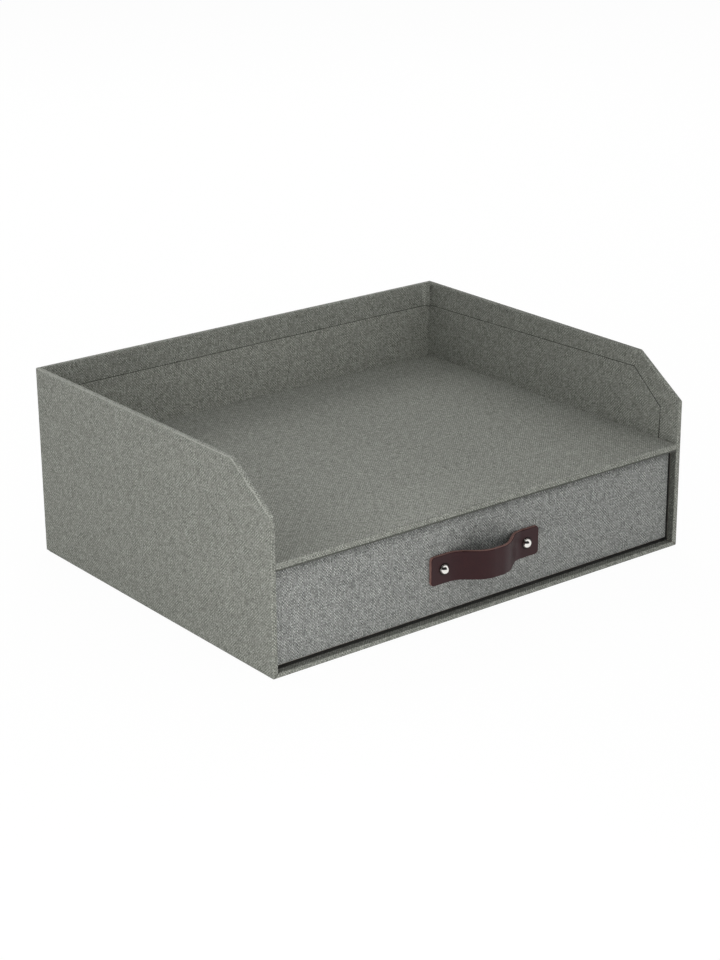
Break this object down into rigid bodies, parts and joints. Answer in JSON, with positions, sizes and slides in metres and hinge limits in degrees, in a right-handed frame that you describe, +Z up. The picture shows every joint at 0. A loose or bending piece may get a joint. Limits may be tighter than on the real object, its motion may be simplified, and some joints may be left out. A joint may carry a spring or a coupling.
{
  "type": "document organizer",
  "caption": "Cloth-covered desk document organizer: an open letter tray with slanted front corners over a sliding drawer with a bowed leather strap pull on domed studs.",
  "frame": {"origin": "on the surface that the object stands on, under the middle of the case", "axes": "+X to the right along the case's width, -Y towards the front where the drawer opens, +Z up"},
  "size_m": [0.33, 0.2665, 0.127],
  "materials": {
    "woven_cloth": "matte",
    "lining_cloth": "matte",
    "greyboard": "matte",
    "base_paper": "matte",
    "brown_leather": "satin",
    "stud_nickel": "polished",
    "screw_steel": "satin"
  },
  "bodies": {
    "case": {"case_base_sheet": "base_paper", "case_base_board": "greyboard", "case_base_cover": "woven_cloth", "case_left_board": "greyboard", "case_right_board": "greyboard", "case_back_board": "greyboard", "case_left_cover": "woven_cloth", "case_right_cover": "woven_cloth", "case_back_cover": "woven_cloth", "shelf_board": "greyboard", "shelf_cover": "woven_cloth", "left_lining": "lining_cloth", "right_lining": "lining_cloth", "back_lining": "lining_cloth", "bay_floor_lining": "lining_cloth", "bay_ceiling_lining": "lining_cloth"},
    "drawer": {"drawer_front_board": "greyboard", "drawer_left_board": "greyboard", "drawer_right_board": "greyboard", "drawer_back_board": "greyboard", "drawer_floor_board": "greyboard", "drawer_front_cover": "woven_cloth", "drawer_left_cover": "woven_cloth", "drawer_right_cover": "woven_cloth", "drawer_back_cover": "woven_cloth", "drawer_front_lining": "lining_cloth", "drawer_lining": "lining_cloth", "pull_strap": "brown_leather", "stud_heads": "stud_nickel", "stud_washers": "screw_steel", "stud_screws": "screw_steel"}
  },
  "joints": [
    {"name": "drawer_slide", "type": "slide", "parent": "case", "child": "drawer", "axis": [0, -1, 0], "range_m": [0, 0.21]}
  ]
}
